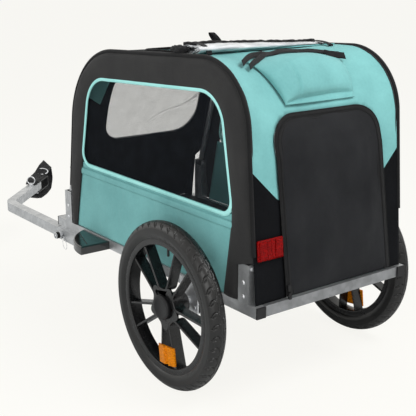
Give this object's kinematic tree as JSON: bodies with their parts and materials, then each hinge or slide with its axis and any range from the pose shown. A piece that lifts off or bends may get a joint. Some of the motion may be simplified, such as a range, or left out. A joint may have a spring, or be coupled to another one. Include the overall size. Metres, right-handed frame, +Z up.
{
  "type": "dog bike trailer",
  "caption": "Two-wheel bike trailer for a dog: cloth cabin on folding tube hoops over a square-tube frame, mesh windows, rear door, moulded wheels and a side tow arm with hitch.",
  "frame": {"origin": "on the ground under the middle of the whole trailer with its tow arm", "axes": "+X towards the bicycle, +Y to the trailer's left where the tow arm is, +Z up"},
  "size_m": [1.481, 0.639, 0.7895],
  "materials": {
    "zinc_steel": "zinc plated tube, satin",
    "bright_steel": "bright zinc",
    "black_steel": "black powder coat",
    "black_plastic": "moulded, fine grain",
    "floor_board": "dark board",
    "tyre_rubber": "moulded tread",
    "tube_rubber": "smooth",
    "charcoal_cloth": "woven polyester",
    "teal_cloth": "coated polyester",
    "black_cloth": "woven polyester",
    "mesh": "fine net",
    "clear_vinyl": "soft clear sheet, rolled",
    "webbing": "ribbed webbing",
    "red_lens": "reflector lens",
    "orange_lens": "reflector lens"
  },
  "bodies": {
    "chassis": {"left_rail": "zinc_steel", "right_rail": "zinc_steel", "left_hinge_brackets": "zinc_steel", "right_hinge_brackets": "zinc_steel", "left_axle_hanger": "zinc_steel", "right_axle_hanger": "zinc_steel", "left_axle_block": "black_plastic", "right_axle_block": "black_plastic", "left_axle": "bright_steel", "right_axle": "bright_steel", "left_wheel_guard": "black_plastic", "right_wheel_guard": "black_plastic", "left_skirt": "teal_cloth", "right_skirt": "teal_cloth", "front_crossbar": "zinc_steel", "middle_crossbar": "zinc_steel", "rear_crossbar": "zinc_steel", "rail_end_plugs": "black_plastic", "floor_panel": "floor_board", "frame_fasteners": "bright_steel", "tow_receiver": "zinc_steel", "front_panel": "black_cloth", "front_window": "mesh", "roof_panel": "teal_cloth", "roof_window": "mesh", "rear_upper_panel": "teal_cloth", "rear_corner_panels": "black_cloth", "rain_cover_roll": "clear_vinyl", "roof_straps": "webbing", "rear_reflector": "red_lens"},
    "tow_arm": {"tow_arm": "zinc_steel", "hitch_bolt": "bright_steel", "safety_strap": "webbing"},
    "lock_pin": {"tow_lock_pin": "bright_steel"},
    "hitch_yoke": {"hitch_yoke": "black_steel"},
    "hitch_pin": {"hitch_pin": "bright_steel"},
    "rear_door": {"rear_door": "black_cloth"},
    "roof_flap": {"roof_flap": "teal_cloth"},
    "left_side": {"left_hoop": "zinc_steel", "left_hoop_knuckles": "black_plastic", "left_border": "charcoal_cloth", "left_lower_panel": "teal_cloth", "left_window": "mesh"},
    "left_wheel": {"left_tyre": "tyre_rubber", "left_inner_tube": "tube_rubber", "left_wheel": "black_plastic", "left_hub_bearings": "bright_steel", "left_hub_cap": "black_plastic", "left_spoke_reflector": "orange_lens"},
    "right_side": {"right_hoop": "zinc_steel", "right_hoop_knuckles": "black_plastic", "right_border": "charcoal_cloth", "right_lower_panel": "teal_cloth", "right_window": "mesh"},
    "right_wheel": {"right_tyre": "tyre_rubber", "right_inner_tube": "tube_rubber", "right_wheel": "black_plastic", "right_hub_bearings": "bright_steel", "right_hub_cap": "black_plastic", "right_spoke_reflector": "orange_lens"}
  },
  "joints": [
    {"name": "left_wheel_spin", "type": "hinge", "parent": "chassis", "child": "left_wheel", "pos_m": [-0.49752, 0.294, 0.2], "axis": [0, 1, 0], "continuous": true},
    {"name": "right_wheel_spin", "type": "hinge", "parent": "chassis", "child": "right_wheel", "pos_m": [-0.49752, -0.294, 0.2], "axis": [0, 1, 0], "continuous": true},
    {"name": "tow_arm_fold", "type": "hinge", "parent": "chassis", "child": "tow_arm", "pos_m": [0.01748, 0.23, 0.213], "axis": [0, 1, 0], "range_deg": [0, 170]},
    {"name": "lock_pin_pull", "type": "slide", "parent": "tow_arm", "child": "lock_pin", "axis": [0, 1, 0], "range_m": [0, 0.045]},
    {"name": "hitch_swivel", "type": "hinge", "parent": "tow_arm", "child": "hitch_yoke", "pos_m": [0.65638, 0.0511, 0.213], "axis": [0, 0, 1], "range_deg": [-40, 40]},
    {"name": "hitch_pin_pull", "type": "slide", "parent": "tow_arm", "child": "hitch_pin", "axis": [0, 0, 1], "range_m": [0, 0.05]},
    {"name": "left_side_fold", "type": "hinge", "parent": "chassis", "child": "left_side", "pos_m": [-0.30752, 0.222, 0.333], "axis": [1, 0, 0], "range_deg": [0, 90]},
    {"name": "right_side_fold", "type": "hinge", "parent": "chassis", "child": "right_side", "pos_m": [-0.30752, -0.222, 0.365], "axis": [-1, 0, 0], "range_deg": [0, 90]},
    {"name": "rear_door_open", "type": "hinge", "parent": "chassis", "child": "rear_door", "pos_m": [-0.73827, 0, 0.25875], "axis": [0, 1, 0], "range_deg": [-120, 0]},
    {"name": "roof_flap_lift", "type": "hinge", "parent": "chassis", "child": "roof_flap", "pos_m": [-0.52755, 0, 0.77184], "axis": [0, -1, 0], "range_deg": [-100, 0]}
  ]
}
